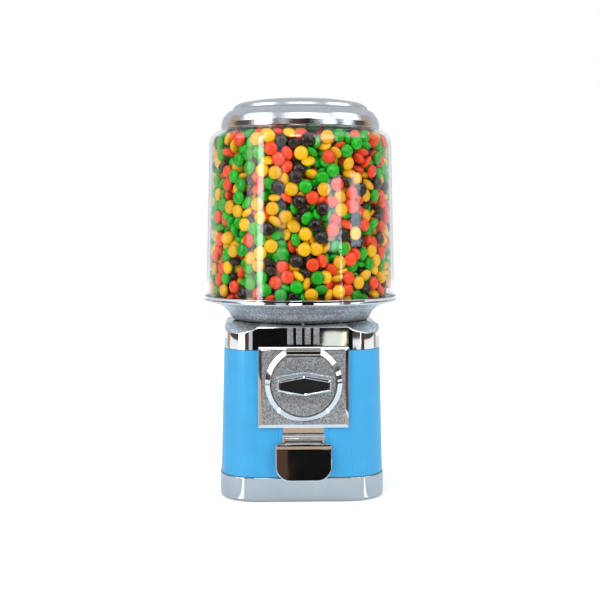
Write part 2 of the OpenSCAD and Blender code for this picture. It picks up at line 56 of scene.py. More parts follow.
CORNER_C = 42.5
BASE_HALF = 79.0
BASE_TOP = 23.5
FOOT_H = 1.2
BODY_HALF = 78.0
BODY_TOP_HALF = 75.0
BODY_TOP = 143.5
WALL = 2.5
CAP_TOP = 168.0
GLOBE_R = 93.7
GLOBE_TOP_R = 90.0
GLOBE_Z = 191.0
GLOBE_TOP = 354.0
SHOULDER_R = 14.0
GLOBE_WALL = 2.5
KNOB_Z = 113.0
PIN_Y = -81.0
PLATE_Z0 = 71.0
PLATE_Z1 = 147.3
PLATE_HALF = 42.5
RING_R = 31.0
DOOR_Z0 = 22.0
DOOR_FRONT = -85.0
DOOR_HALF = 26.2
DOOR_CORNER = 13.5
PIN_Z = 54.0

# ---------- camera ----------

CAMERA_AZIMUTH = math.radians(-2.2)
CAMERA_DISTANCE = 1.135
CAMERA_HEIGHT = 0.26
CAMERA_PITCH = math.radians(3.73)
CAMERA_YAW = math.radians(0.015)
FOCAL_IN_FRAMES = 1135 / 600
SENSOR = 36.0
WORLD_LIGHT = 0.92


def make_camera():
    data = bpy.data.cameras.new("camera")
    data.sensor_width = SENSOR
    data.lens = FOCAL_IN_FRAMES * SENSOR
    data.clip_start = 0.05
    camera = bpy.data.objects.new("camera", data)
    bpy.context.scene.collection.objects.link(camera)
    camera.location = (
        math.sin(CAMERA_AZIMUTH) * CAMERA_DISTANCE,
        -math.cos(CAMERA_AZIMUTH) * CAMERA_DISTANCE,
        CAMERA_HEIGHT,
    )
    camera.rotation_euler = (math.pi / 2 - CAMERA_PITCH, 0, CAMERA_AZIMUTH + CAMERA_YAW)
    bpy.context.scene.camera = camera


# ---------- node helpers ----------


def new_material(name, **numbers):
    """A material, its node tree and its shader, with numbers set on the shader's own sockets."""
    material = bpy.data.materials.new(name)
    material.use_nodes = True
    tree = material.node_tree
    shader = tree.nodes["Principled BSDF"]
    for socket, value in numbers.items():
        shader.inputs[socket.replace("_", " ")].default_value = value
    return material, tree, shader


def node(tree, kind, **values):
    made = tree.nodes.new(kind)
    for key, value in values.items():
        setattr(made, key, value)
    return made


def position(tree):
    """The point in the object's own frame, in metres."""
    return node(tree, "ShaderNodeTexCoord").outputs["Object"]


def noise(tree, size, detail=3.0, roughness=0.5):
    """Noise whose features are about size metres across."""
    made = node(tree, "ShaderNodeTexNoise")
    made.inputs["Scale"].default_value = 1.0 / size
    made.inputs["Detail"].default_value = detail
    made.inputs["Roughness"].default_value = roughness
    tree.links.new(position(tree), made.inputs["Vector"])
    return made.outputs["Fac"]


def cells(tree, size):
    """A random colour for each cell, about size metres across."""
    made = node(tree, "ShaderNodeTexVoronoi")
    made.inputs["Scale"].default_value = 1.0 / size
    tree.links.new(position(tree), made.inputs["Vector"])
    return made.outputs["Color"]


def ramp(tree, source, stops):
    """stops are (position, colour) pairs."""
    made = node(tree, "ShaderNodeValToRGB")
    elements = made.color_ramp.elements
    while len(elements) < len(stops):
        elements.new(0.5)
    for element, (place, colour) in zip(elements, stops):
        element.position = place
        element.color = (*colour, 1.0)
    tree.links.new(source, made.inputs["Fac"])
    return made.outputs["Color"]


def span(tree, source, low, high, from_low=0.0, from_high=1.0):
    """source, carried from the range from_low..from_high to low..high."""
    made = node(tree, "ShaderNodeMapRange")
    made.inputs["From Min"].default_value = from_low
    made.inputs["From Max"].default_value = from_high
    made.inputs["To Min"].default_value = low
    made.inputs["To Max"].default_value = high
    tree.links.new(source, made.inputs["Value"])
    return made.outputs["Result"]


def math_node(tree, operation, a, b):
    made = node(tree, "ShaderNodeMath", operation=operation)
    for socket, value in zip(made.inputs, (a, b)):
        if isinstance(value, (int, float)):
            socket.default_value = value
        else:
            tree.links.new(value, socket)
    return made.outputs[0]


def bump(tree, shader, height, distance, strength=1.0, before=None):
    made = node(tree, "ShaderNodeBump")
    made.inputs["Strength"].default_value = strength
    made.inputs["Distance"].default_value = distance
    tree.links.new(height, made.inputs["Height"])
    if before is not None:
        tree.links.new(before, made.inputs["Normal"])
    tree.links.new(made.outputs["Normal"], shader.inputs["Normal"])
    return made.outputs["Normal"]


def two_tone(tree, shader, factor, low, high, places=(0.3, 0.7)):
    """Base colour that runs from low to high with the factor."""
    tones = ramp(tree, factor, list(zip(places, (low, high))))
    tree.links.new(tones, shader.inputs["Base Color"])


# ---------- materials ----------


def chrome_material(name, tint=(0.80, 0.82, 0.84), rough=(0.02, 0.07), grain=0.0):
    """Plated, polished metal with faint haze and, if asked, a satin grain."""
    material, tree, shader = new_material(name, Metallic=1.0)
    haze = noise(tree, 0.02, 4)
    fine = noise(tree, 0.0012, 2)
    both = math_node(tree, "MULTIPLY", haze, fine)
    tree.links.new(span(tree, both, rough[0], rough[1], 0.1, 0.45), shader.inputs["Roughness"])
    dark = tuple(0.93 * c for c in tint)
    two_tone(tree, shader, haze, dark, tint)
    waves = bump(tree, shader, noise(tree, 0.012, 1), 0.00002, 0.5)
    if grain:
        pits = noise(tree, 0.0009, 3, 0.65)
        bump(tree, shader, pits, grain, 0.6, waves)
        shade = tuple(0.72 * c for c in tint)
        two_tone(tree, shader, pits, shade, tint, (0.36, 0.56))
    return material


CAST_LIGHT = (0.63, 0.67, 0.72)
CAST_DARK = (0.17, 0.19, 0.212)


def cast_material(name, size=0.0011, painted_shading_heights=None):
    """Bright granular casting: light and dark grains with small facets that sparkle.

    The optional height range (low, high) is where the colour runs from 0.32 to 1.5 times: painted shade low
    down, painted light higher up.
    """
    material, tree, shader = new_material(name, Metallic=0.92)
    grains = noise(tree, size, 2.5, 0.65)
    facets = cells(tree, 0.9 * size)
    split = node(tree, "ShaderNodeSeparateColor")
    tree.links.new(facets, split.inputs["Color"])
    mixed = math_node(tree, "MULTIPLY", grains, span(tree, split.outputs["Red"], 0.8, 1.18))
    middle = tuple(0.5 * (a + b) for a, b in zip(CAST_LIGHT, CAST_DARK))
    colour = ramp(tree, mixed, [(0.3, CAST_DARK), (0.48, middle), (0.62, CAST_LIGHT)])
    # painted shade and painted light: over the given heights the colour is multiplied from 0.32 at the
    # bottom to 1.5 at the top
    if painted_shading_heights:
        place = node(tree, "ShaderNodeSeparateXYZ")
        tree.links.new(position(tree), place.inputs["Vector"])
        tone = node(tree, "ShaderNodeVectorMath", operation="SCALE")
        tree.links.new(colour, tone.inputs[0])
        tree.links.new(span(tree, place.outputs["Z"], 0.32, 1.5, *painted_shading_heights), tone.inputs["Scale"])
        colour = tone.outputs["Vector"]
    tree.links.new(colour, shader.inputs["Base Color"])
    tree.links.new(span(tree, split.outputs["Green"], 0.36, 0.55), shader.inputs["Roughness"])
    coarse = bump(tree, shader, grains, 0.00022, 0.8)
    bump(tree, shader, noise(tree, 0.02, 2), 0.0003, 0.3, coarse)
    return material


def paint_material(name, colour):
    """Smooth sprayed enamel with faint orange peel and slightly uneven colour."""
    material, tree, shader = new_material(name, Coat_Weight=0.25, Coat_Roughness=0.15)
    patch = noise(tree, 0.03, 4)
    light = tuple(min(1.0, 1.05 * c) for c in colour)
    dark = tuple(0.95 * c for c in colour)
    two_tone(tree, shader, patch, dark, light)
    tree.links.new(span(tree, noise(tree, 0.004, 3), 0.38, 0.5), shader.inputs["Roughness"])
    bump(tree, shader, noise(tree, 0.0014, 2), 0.00003, 0.6)
    return material


def glass_material(name):
    """Clear moulded plastic whose reflections grow towards its edges, with a thin haze of rub marks."""
    material, tree, shader = new_material(name)
    tree.nodes.remove(shader)
    clear = node(tree, "ShaderNodeBsdfTransparent")
    clear.inputs["Color"].default_value = (0.955, 0.97, 0.972, 1.0)
    gloss = node(tree, "ShaderNodeBsdfGlossy")
    gloss.inputs["Color"].default_value = (1.0, 1.0, 1.0, 1.0)
    tree.links.new(span(tree, noise(tree, 0.015, 4), 0.015, 0.05), gloss.inputs["Roughness"])
    facing = node(tree, "ShaderNodeLayerWeight")
    facing.inputs["Blend"].default_value = 0.5
    waves = node(tree, "ShaderNodeBump")
    waves.inputs["Strength"].default_value = 0.25
    waves.inputs["Distance"].default_value = 0.0002
    tree.links.new(noise(tree, 0.03, 1), waves.inputs["Height"])
    for target in (gloss, facing):
        tree.links.new(waves.outputs["Normal"], target.inputs["Normal"])
    edge = math_node(tree, "POWER", facing.outputs["Facing"], 5.0)
    fresnel = math_node(tree, "ADD", math_node(tree, "MULTIPLY", edge, 0.8), 0.035)
    haze = span(tree, noise(tree, 0.0025, 5, 0.7), 0.0, 0.018, 0.45, 0.75)
    amount = math_node(tree, "ADD", fresnel, haze)
    mix = node(tree, "ShaderNodeMixShader")
    tree.links.new(amount, mix.inputs["Fac"])
    tree.links.new(clear.outputs["BSDF"], mix.inputs[1])
    tree.links.new(gloss.outputs["BSDF"], mix.inputs[2])
    tree.links.new(mix.outputs["Shader"], tree.nodes["Material Output"].inputs["Surface"])
    return material


def candy_material(name, colour):
    """Hard sugar shell: glossy, a little uneven in colour from piece to piece, faintly pitted."""
    numbers = dict(Coat_Weight=0.6, Coat_Roughness=0.05, Specular_IOR_Level=0.25)
    material, tree, shader = new_material(name, **numbers)
    island = node(tree, "ShaderNodeNewGeometry").outputs["Random Per Island"]
    mottle = noise(tree, 0.0022, 3)
    parts = [math_node(tree, "MULTIPLY", *pair) for pair in ((island, 0.7), (mottle, 0.3))]
    both = math_node(tree, "ADD", *parts)
    light = tuple(min(1.0, 1.15 * c + 0.004) for c in colour)
    dark = tuple(0.82 * c for c in colour)
    two_tone(tree, shader, both, dark, light, (0.2, 0.8))
    tree.links.new(span(tree, mottle, 0.16, 0.28), shader.inputs["Roughness"])
    bump(tree, shader, noise(tree, 0.003, 2), 0.00004, 0.35)
    return material


def plain_material(name, colour, rough=(0.45, 0.65), grain=0.0006, metallic=0.0, depth=0.00003):
    """Moulded plastic, rubber or plated steel, by its colour, roughness and metal."""
    material, tree, shader = new_material(name, Metallic=metallic)
    patch = noise(tree, 0.012, 4)
    light = tuple(min(1.0, 1.08 * c) for c in colour)
    dark = tuple(0.9 * c for c in colour)
    two_tone(tree, shader, patch, dark, light)
    tree.links.new(span(tree, noise(tree, grain, 3), *rough), shader.inputs["Roughness"])
    bump(tree, shader, noise(tree, 1.5 * grain, 2), depth, 0.5)
    return material


CHROME = chrome_material("chrome")
BASE_CHROME = chrome_material("base_chrome", (0.53, 0.545, 0.56))
SATIN_CHROME = chrome_material("satin_chrome", rough=(0.09, 0.17), grain=0.00014)
CAST = cast_material("cast_metal")
# the bowl's metal has painted shade near its foot and painted light above it
BOWL_CAST_PAINTED_SHADING = cast_material("bowl_cast_metal_painted_shading", size=0.0014, painted_shading_heights=(0.166, 0.183))
PAINT = paint_material("blue_paint", (0.016, 0.295, 0.59))
CLEAR = glass_material("clear_plastic")
RUBBER = plain_material("rubber", (0.03, 0.03, 0.032), (0.7, 0.85), 0.001, depth=0.00006)
STEEL = plain_material("zinc_steel", (0.55, 0.56, 0.58), (0.25, 0.42), 0.0008, 1.0)
BRASS = plain_material("turned_brass", (0.72, 0.53, 0.22), (0.2, 0.35), 0.0008, 1.0)
WHITE_PLASTIC = plain_material("white_plastic", (0.82, 0.82, 0.78))
BLACK_PLASTIC = plain_material("black_plastic", (0.02, 0.02, 0.022))
CANDY_COLOURS = {
    "green": (0.004, 0.40, 0.006),
    "orange": (0.95, 0.062, 0.008),
    "yellow": (0.97, 0.47, 0.001),
    "brown": (0.018, 0.010, 0.009),
}
CANDY = {name: candy_material("candy_" + name, colour) for name, colour in CANDY_COLOURS.items()}

SLOT_MATERIALS = {
    "chrome": CHROME,
    "cast_metal": CAST,
    "blue_paint": PAINT,
    "clear_plastic": CLEAR,
    "candy": CANDY["orange"],
    "rubber": RUBBER,
    "steel": STEEL,
    "brass": BRASS,
    "white_plastic": WHITE_PLASTIC,
    "black_plastic": BLACK_PLASTIC,
}


def finish_cad_nodes():
    """Give each carried-over CAD node the material of its slot."""
    slots = {part["node"]: part["material_slot"] for part in frame["record"]["subparts"]}
    for name, obj in frame["nodes"].items():
        obj.data.materials.clear()
        obj.data.materials.append(SLOT_MATERIALS[slots[name]])


# ---------- mesh helpers, all in millimetres until add_piece scales them ----------


def fillet(points, closed=False, steps=6):
    """A polyline whose corners are arcs. points are (x, y) or (x, y, radius)."""
    out = []
    count = len(points)
    for i, point in enumerate(points):
        radius = point[2] if len(point) > 2 else 0.0
        here = Vector(point[:2])
        if radius == 0 or (not closed and i in (0, count - 1)):
            out.append((here.x, here.y))
            continue
        before = (Vector(points[i - 1][:2]) - here).normalized()
        after = (Vector(points[(i + 1) % count][:2]) - here).normalized()
        half = before.angle(after) / 2
        middle = (before + after).normalized()
        centre = here + middle * (radius / math.sin(half))
        start = here + before * (radius / math.tan(half)) - centre
        turn = start.angle_signed(here + after * (radius / math.tan(half)) - centre)
        for k in range(steps + 1):
            step = start.copy()
            step.rotate(Matrix.Rotation(-turn * k / steps, 2))
            out.append(((centre + step).x, (centre + step).y))
    return out


def new_object(name, mesh):
    obj = bpy.data.objects.new(name, mesh)
    bpy.context.scene.collection.objects.link(obj)
    return obj


def clean_up(mesh):
    """Merge doubled points and turn all faces outwards."""
    work = bmesh.new()
    work.from_mesh(mesh)
    bmesh.ops.remove_doubles(work, verts=work.verts, dist=1e-6)
    bmesh.ops.recalc_face_normals(work, faces=work.faces)
    work.to_mesh(mesh)
    work.free()


def plain_object(name, mesh_data):
    """An object from points in millimetres, which isn't a piece yet."""
    vertices, faces = mesh_data
    mesh = bpy.data.meshes.new(name)
    mesh.from_pydata([tuple(MM * c for c in v) for v in vertices], [], faces)
    clean_up(mesh)
    return new_object(name, mesh)


def set_up(obj, material, body, slot, smooth=35.0, replaces=()):
    """Make an object a piece: shaded smooth below the given angle, and riding on a body."""
    clean_up(obj.data)
    obj.data.materials.append(material)
    obj.data.shade_smooth()
    obj.data.set_sharp_from_angle(angle=math.radians(smooth))
    even = obj.modifiers.new("even_shading", "WEIGHTED_NORMAL")
    even.keep_sharp = True
    even.weight = 90
    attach(obj, body)
    if replaces:
        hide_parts(*replaces)


def add_piece(name, mesh_data, *how, **more):
    set_up(plain_object(name, mesh_data), *how, **more)


def circle(across, along, radius, count):
    """A round outline about the point (across, along)."""
    angles = [2 * math.pi * k / count for k in range(count)]
    return [(across + radius * math.cos(a), along + radius * math.sin(a)) for a in angles]


def ring_mesh(rings, close_first=False, close_last=False, join_ends=False):
    """Vertices and faces of a surface through rings of equally many points."""
    count = len(rings[0])
    vertices = [p for ring in rings for p in ring]
    faces = []
    last = len(rings) if join_ends else len(rings) - 1
    for i in range(last):
        a, b = i * count, ((i + 1) % len(rings)) * count
        for k in range(count):
            n = (k + 1) % count
            faces.append((a + k, a + n, b + n, b + k))
    if close_first:
        faces.append(tuple(range(count))[::-1])
    if close_last:
        faces.append(tuple(range(len(vertices) - count, len(vertices))))
    return vertices, faces


def lathe_mesh(profile, segments=160):
    """A closed profile of (radius, height) points turned about Z."""
    rings = [[(x, y, z) for x, y in circle(0, 0, r, segments)] for r, z in profile]
    return ring_mesh(rings, join_ends=True)


def square_ring(half, z, corner_steps=12):
    """A level square ring with round corners centred at CORNER_C."""
    points = []
    radius = half - CORNER_C
    for quarter in range(4):
        for k in range(corner_steps + 1):
            angle = math.pi / 2 * (quarter + k / corner_steps)
            sx = 1 if quarter in (0, 3) else -1
            sy = 1 if quarter in (0, 1) else -1
            x = sx * CORNER_C + radius * math.cos(angle)
            y = sy * CORNER_C + radius * math.sin(angle)
            points.append((x, y, z))
    return points


def extrude_mesh(outline, low, high, axis="Y"):
    """A prism of a flat outline, (x, z) along Y or (y, z) along X."""
    def place(point, depth):
        return (point[0], depth, point[1]) if axis == "Y" else (depth, point[0], point[1])
    return ring_mesh([[place(p, low) for p in outline], [place(p, high) for p in outline]], True, True)


def merged(*meshes):
    """Several meshes as one."""
    vertices, faces = [], []
    for more_vertices, more_faces in meshes:
        start = len(vertices)
        vertices += more_vertices
        faces += [tuple(start + i for i in face) for face in more_faces]
    return vertices, faces


def apply_modifiers(obj):
    """Put the result of the object's modifiers into its mesh."""
    graph = bpy.context.evaluated_depsgraph_get()
    graph.update()
    mesh = bpy.data.meshes.new_from_object(obj.evaluated_get(graph))
    obj.modifiers.clear()
    obj.data = mesh


def combine(obj, other, operation="DIFFERENCE"):
    """Cut another object out of this one, or join it on, and remove it."""
    modifier = obj.modifiers.new("cut", "BOOLEAN")
    modifier.object = other
    modifier.operation = operation
    modifier.solver = "EXACT"
    apply_modifiers(obj)
    bpy.data.objects.remove(other)


def bevel(obj, width, segments=2, angle=40.0):
    modifier = obj.modifiers.new("bevel", "BEVEL")
    modifier.width = width * MM
    modifier.segments = segments
    modifier.limit_method = "ANGLE"
    modifier.angle_limit = math.radians(angle)
    apply_modifiers(obj)


# ---------- base, body and cap ----------


def make_base():
    inner = BASE_HALF - 6.0
    profile = fillet([
        (inner, FOOT_H + 2.5), (inner, BASE_TOP + 4.0, 0.5), (75.2, BASE_TOP + 4.0, 0.5),
        (75.2, BASE_TOP - 0.2), (76.2, BASE_TOP - 0.2), (BASE_HALF, BASE_TOP - 0.2, 0.9),
        (BASE_HALF, FOOT_H - 0.5, 2.6), (50.0, FOOT_H - 0.5),
    ])
    shell = ring_mesh([square_ring(h, z) for h, z in profile], True, True)
    add_piece("base_shell", shell, BASE_CHROME, "housing", "chrome", replaces=["base"])


def make_body_shell():
    """Painted shell with drafted sides, the mechanism's opening and the chute's notch."""
    lean = (BODY_HALF - BODY_TOP_HALF) / (BODY_TOP - BASE_TOP)

    def half(z, inset=0.0):
        return BODY_HALF - lean * (z - BASE_TOP) - inset

    z0, z1 = BASE_TOP + 0.15, BODY_TOP - 0.15
    levels = [z0, 60.0, 100.0, z1]
    rings = [square_ring(half(z), z) for z in levels]
    rings += [square_ring(half(z, WALL), z) for z in reversed(levels)]
    shell = plain_object("body_shell_painted", ring_mesh(rings, join_ends=True))
    combine(shell, plain_object("front_panel", front_panel_mesh(half)), "UNION")
    opening = [(-30.5, 80), (30.5, 80), (30.5, 139.5), (-30.5, 139.5)]
    combine(shell, plain_object("opening", extrude_mesh(opening, -90, -65)))
    notch = fillet([(-20.4, 27.5), (20.4, 27.5), (20.4, 71.0, 1.2), (-20.4, 71.0, 1.2)], closed=True)
    combine(shell, plain_object("notch", extrude_mesh(notch, -90, -65)))
    bevel(shell, 0.7, 3)
    set_up(shell, PAINT, "housing", "blue_paint", 30, ["body_shell"])


def front_panel_mesh(half):
    """The slightly raised panel below the coin mechanism, a little wider at its foot."""
    raise_by = 0.3
    rows = []
    for z, x in ((BASE_TOP + 0.15, 47.5), (78.0, 43.2)):
        front, back = -half(z) - raise_by, -half(z) + 1.0
        rows.append([(-x, back, z), (x, back, z), (x - 0.5, front, z), (0.5 - x, front, z)])
    return ring_mesh(rows, True, True)


def make_notch_edges():
    """Rolled edges of the painted sheet on both sides of the chute."""
    strips = []
    for side in (-1, 1):
        centre = side * 21.3
        left, right = centre - 1.9, centre + 1.9
        corners = [(left, -75.0), (left, -79.0, 1.3), (right, -79.0, 1.3), (right, -75.0)]
        outline = fillet(corners, closed=True, steps=5)
        rows = []
        for z, drop in ((27.6, 0.0), (60.0, 0.4), (70.9, 0.8), (71.6, 1.4)):
            rows.append([(x, y + drop if y < -76.5 else y, z) for x, y in outline])
        strips.append(ring_mesh(rows, True, True))
    add_piece("chute_notch_edges", merged(*strips), PAINT, "housing", "blue_paint")


def make_cap():
    """The chromed top of the body: its upper edge dips at the corners and rises to the bowl."""
    steps = 12
    dip = 6.0

    def cornered(ring, amount):
        """A ring that dips at its four corners."""
        out = []
        for i, (x, y, z) in enumerate(ring):
            share = (i % (steps + 1)) / steps
            out.append((x, y, z - amount * math.sin(math.pi * share) ** 0.7))
        return out

    def round_ring(radius, z):
        """A round ring whose points lie in the directions of the square ring's."""
        out = []
        for x, y, _ in square_ring(70.0, z, steps):
            length = math.hypot(x, y)
            out.append((radius * x / length, radius * y / length, z))
        return out

    def blended(a, b, t):
        return [tuple((1 - t) * p + t * q for p, q in zip(u, v)) for u, v in zip(a, b)]

    half = BODY_TOP_HALF
    edge_z = 165.6
    edge = fillet([(half - 0.5, 150.0), (half - 0.6, edge_z, 1.6), (half - 12.0, edge_z + 1.3)], steps=5)
    painted_shading_heights = BODY_TOP + 0.1
    skirt = [(half - WALL, painted_shading_heights), (half - 0.3, painted_shading_heights), (half, BODY_TOP + 0.4), (half - 0.25, 152.0)]
    rings = [square_ring(h, z, steps) for h, z in skirt]
    for h, z in edge[1:-1]:
        rings.append(cornered(square_ring(h, z, steps), dip))
    outer = cornered(square_ring(edge[-2][0], edge[-2][1], steps), dip)
    inner = round_ring(66.0, CAP_TOP)
    for t in (0.12, 0.3, 0.5, 0.7, 0.85, 1.0):
        lift = 0.9 * math.sin(math.pi * t) * (1 - t)
        rings.append([(x, y, z + lift) for x, y, z in blended(outer, inner, t)])
    rings.append(round_ring(62.0, CAP_TOP - 0.2))
    rings.append(round_ring(62.0, CAP_TOP - 2.5))
    cap = plain_object("cap_plated", ring_mesh(rings))
    relief = [(-42.9, BODY_TOP - 2), (42.9, BODY_TOP - 2), (42.9, 147.6), (-42.9, 147.6)]
    combine(cap, plain_object("relief", extrude_mesh(relief, -90, -73.6)))
    set_up(cap, CHROME, "housing", "chrome", 35, ["cap"])

    pitch, rib_half, low, high = 8.2, 2.7, 149.2, 164.6
    ribs = []
    for i in range(4):
        x = (i - 1.5) * pitch
        left, right = x - rib_half, x + rib_half
        corners = [(left, low, 0.6), (right, low, 0.6), (right, high, 0.6), (left, high, 0.6)]
        ribs.append(extrude_mesh(fillet(corners, closed=True, steps=3), -77.0, -73.5))
    rib_object = plain_object("cap_ribs", merged(*ribs))
    bevel(rib_object, 0.9, 3, 60)
    set_up(rib_object, CAST, "housing", "chrome")


# ---------- bowl, ring, globe and lid ----------


def make_bowl():
    profile = fillet([
        (45.5, 142.4), (58.0, 142.4, 0.5), (58.0, 145.4, 0.5), (48.5, 145.4, 1.5), (48.5, 155.0, 3.0),
        (62.0, 166.0), (62.0, 168.1), (67.0, 168.1, 0.4), (69.5, 171.0, 6.0), (72.5, 176.5, 10.0),
        (80.0, 182.6, 12.0), (94.0, 186.2, 0.8), (94.0, 188.5), (85.0, 188.5, 2.0), (45.5, 157.0, 6.0),
    ], closed=True)
    bowl = lathe_mesh(profile)
    add_piece("bowl_casting", bowl, BOWL_CAST_PAINTED_SHADING, "housing", "cast_metal", replaces=["hopper_bowl"])


def make_ring():
    profile = fillet([
        (87.0, 188.5), (94.2, 188.5), (94.2, 186.9, 0.3), (95.0, 186.3, 0.5), (96.0, 187.2, 0.9),
        (95.4, 189.0, 1.2), (95.6, 191.2, 0.5), (94.6, 191.5, 0.3), (94.3, 190.3), (87.0, 190.3),
    ], closed=True, steps=4)
    add_piece("rim_ring", lathe_mesh(profile), CHROME, "housing", "chrome", replaces=["globe_ring"])


def globe_profile(inset, steps=10):
    """Radius and height from the globe's foot to the top of its shoulder, drawn in by inset."""
    centre_r, centre_z = GLOBE_TOP_R - SHOULDER_R, GLOBE_TOP - SHOULDER_R
    radius = SHOULDER_R - inset
    out = [(GLOBE_R - inset, GLOBE_Z), (0.5 * (GLOBE_R + GLOBE_TOP_R) - inset, 0.5 * (GLOBE_Z + centre_z))]
    for k in range(steps + 1):
        angle = math.pi / 2 * k / steps
        out.append((centre_r + radius * math.cos(angle), centre_z + radius * math.sin(angle)))
    return out


def make_globe():
    neck = [(72.5, GLOBE_TOP), (72.5, GLOBE_TOP + 4), (70.0, GLOBE_TOP + 4), (70.0, GLOBE_TOP - GLOBE_WALL)]
    profile = globe_profile(0) + neck + globe_profile(GLOBE_WALL)[::-1]
    add_piece("globe_clear", lathe_mesh(profile), CLEAR, "housing", "clear_plastic", replaces=["globe"])


def make_lid():
    outer = [
        (78.0, 354.1, 0.6), (78.2, 359.5, 2.0), (76.4, 365.5, 6.0), (72.0, 371.2, 5.0), (67.0, 373.2, 1.5),
        (65.8, 376.6, 2.5), (61.5, 379.2, 4.0), (50.0, 381.4, 10.0), (30.0, 382.0),
    ]
    inner = [
        (9.5, 382.0), (9.5, 379.8), (40.0, 379.8), (52.0, 378.6), (60.0, 376.2), (63.2, 373.6),
        (68.0, 370.4), (72.5, 365.6), (74.5, 360.0), (74.5, 354.1),
    ]
    lid = lathe_mesh(fillet(outer + inner, closed=True))
    add_piece("lid_plated", lid, SATIN_CHROME, "cover", "chrome", replaces=["lid"])


# ---------- coin mechanism ----------


def plate_outline(inset=0.0):
    half, low, high = PLATE_HALF - inset, PLATE_Z0 + inset, PLATE_Z1 - inset
    return [(-half, low), (half, low), (half, high), (-half, high)]


def make_faceplate():
    """Polished border, a grainy field, and a raised ring that the coin notch breaks."""
    front, field = -81.7, -80.9

    def level(inset, y, radius=0.8):
        corners = [(x, z, radius) for x, z in plate_outline(inset)]
        return [(x, y, z) for x, z in fillet(corners, closed=True, steps=3)]

    rings = [
        level(0.0, -75.0, 1.2), level(0.0, -80.1, 1.2), level(0.2, -80.4, 1.1),
        level(2.9, front, 0.8), level(3.3, front, 0.7), level(3.8, field, 0.6),
        level(5.0, field + 0.3, 0.5), level(5.0, -75.0, 0.5),
    ]
    border = plain_object("faceplate_border", ring_mesh(rings, join_ends=True))
    notch = extrude_mesh([(-16, 138), (16, 138), (16, 146), (-16, 146)], -90, -78.4)
    combine(border, plain_object("notch", notch))
    set_up(border, CHROME, "housing", "chrome", 30, ["faceplate"])

    field_plate = plain_object("faceplate_field", extrude_mesh(plate_outline(3.6), field, -77.0))
    combine(field_plate, plain_object("notch", notch))
    hole = extrude_mesh(circle(0, KNOB_Z, RING_R, 96), -90, -79.6)
    combine(field_plate, plain_object("hole", hole))
    set_up(field_plate, CAST, "housing", "cast_metal", 30)

    # polished ring with a sloping face
    profile = fillet([
        (30.9, 0.0), (36.3, 0.0, 0.2), (36.2, 0.9, 0.3), (31.6, 4.4, 0.4), (30.9, 4.4, 0.3),
    ], closed=True, steps=3)
    vertices, faces = lathe_mesh(profile, 144)
    vertices = [(x, field - z, KNOB_Z + y) for x, y, z in vertices]
    ring = plain_object("coin_ring", (vertices, faces))
    above = extrude_mesh([(-40, 146), (40, 146), (40, 155), (-40, 155)], -90, -75)
    combine(ring, plain_object("notch", notch))
    combine(ring, plain_object("above", above))
    set_up(ring, CHROME, "housing", "chrome", 30)

    # bright floor of the coin notch, with a round groove along it
    groove = fillet([
        (-79.9, 138.0), (-78.4, 138.0), (-78.4, 146.2), (-81.4, 146.2), (-81.4, 144.6, 1.0),
        (-79.4, 144.0, 1.6), (-79.4, 139.5, 1.6), (-81.3, 139.0, 0.4), (-81.3, 138.0),
    ], closed=True, steps=5)
    add_piece("coin_notch_seat", extrude_mesh(groove, -15.9, 15.9, axis="X"), CHROME, "housing", "chrome")


def make_knob():
    """Grainy disc with a flat at its top, and the long hexagonal grip with a polished face."""
    disc_r, flat = 30.6, 24.6
    back, front = -81.2, -84.0
    start = math.asin(flat / disc_r)
    count = 96
    sweep = math.pi + 2 * start
    outline = []
    for k in range(count + 1):
        angle = math.pi - start + sweep * k / count
        outline.append((disc_r * math.cos(angle), KNOB_Z + disc_r * math.sin(angle)))

    def inset_ring(points, scale, y):
        return [(x * scale, y, KNOB_Z + (z - KNOB_Z) * scale) for x, z in points]

    rings = [
        inset_ring(outline, 1.0, back), inset_ring(outline, 1.0, front + 0.7),
        inset_ring(outline, 0.992, front + 0.2), inset_ring(outline, 0.975, front),
    ]
    add_piece("knob_disc", ring_mesh(rings, True, True), CAST, "coin_drive", "cast_metal", 30)

    # the grip flares into the disc and narrows a little to its front
    half, waist, end = 24.2, 9.4, 5.1

    def hexagon(grow, y, radius):
        x, z, middle = half + grow, end + grow, waist + grow
        corners = [
            (-x, -z, radius), (0, -middle, 2 * radius), (x, -z, radius),
            (x, z, radius), (0, middle, 2 * radius), (-x, z, radius),
        ]
        return [(x, y, KNOB_Z + z) for x, z in fillet(corners, closed=True, steps=4)]

    flare_r = 1.8
    flare = []
    for k in range(8):
        angle = math.pi / 2 * k / 7
        grow = flare_r * (1 - math.sin(angle))
        y = front - flare_r * (1 - math.cos(angle)) + 0.02
        flare.append(hexagon(grow + 0.3, y, 1.5 + 0.5 * grow))
    flare += [hexagon(0.1, -94.5, 1.4), hexagon(0.0, -97.8, 1.4)]
    add_piece("knob_grip", ring_mesh(flare, True, True), CAST, "coin_drive", "cast_metal", 40)
    face = [
        hexagon(0.25, -97.2, 1.4), hexagon(0.25, -97.9, 1.4), hexagon(-0.3, -98.6, 1.3),
        hexagon(-1.4, -99.0, 1.0), hexagon(-2.0, -98.75, 0.8),
    ]
    add_piece("knob_grip_face", ring_mesh(face, True, True), CHROME, "coin_drive", "chrome", 20, ["knob"])


# ---------- chute and door ----------


